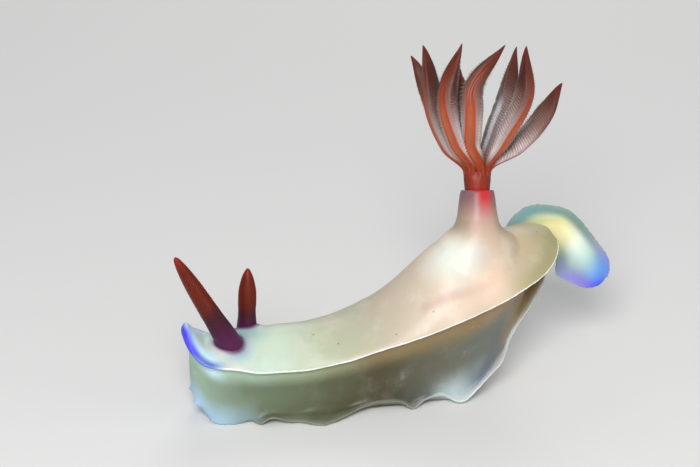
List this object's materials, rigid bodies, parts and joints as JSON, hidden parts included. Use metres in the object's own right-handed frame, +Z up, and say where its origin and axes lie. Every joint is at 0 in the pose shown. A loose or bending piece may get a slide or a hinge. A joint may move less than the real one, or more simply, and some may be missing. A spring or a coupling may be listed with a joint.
{
  "type": "nudibranch sea slug",
  "caption": "Life-size sea slug, Hypselodoris bullockii, gliding on its foot, with a tall gill crown, raised rhinophores and a curled tail.",
  "frame": {"origin": "point on the flat of the sole, under the middle of the body", "axes": "+X towards the tail, +Y to the slug's right side, +Z up"},
  "size_m": [0.0524, 0.0202, 0.0394],
  "materials": {
    "mantle": "moist cream skin with a thin white rim",
    "flank": "moist olive to bluish grey skin",
    "foot": "moist translucent pale grey skin with a white edge",
    "pearl": "moist pale blue skin with a violet-blue edge",
    "violet": "moist purple skin",
    "brick": "moist brick red skin with fine leaves",
    "coral": "moist orange red skin, greyish and translucent on the leaves",
    "crimson": "moist crimson skin"
  },
  "bodies": {
    "root": {"mantle_front": "mantle", "mantle_middle": "mantle", "mantle_rear": "mantle", "head": "flank", "trunk_front": "flank", "trunk_middle": "flank", "trunk_rear": "flank", "foot_front": "foot", "foot_middle": "foot", "foot_rear": "foot", "tail_base": "pearl", "tail_tip": "pearl", "oral_tentacle_left": "pearl", "oral_tentacle_right": "pearl", "rhinophore_left_stalk": "violet", "rhinophore_right_stalk": "violet", "rhinophore_left_club": "brick", "rhinophore_right_club": "brick", "rhinophore_left_sheath": "mantle", "rhinophore_right_sheath": "mantle", "gill_pocket": "mantle", "gill_stem": "crimson", "anal_papilla": "crimson", "gill_branch_1": "coral", "gill_branch_2": "coral", "gill_branch_3": "coral", "gill_branch_4": "coral", "gill_branch_5": "coral", "gill_branch_6": "coral", "gill_branch_7": "coral", "gill_branch_8": "coral"}
  },
  "joints": []
}
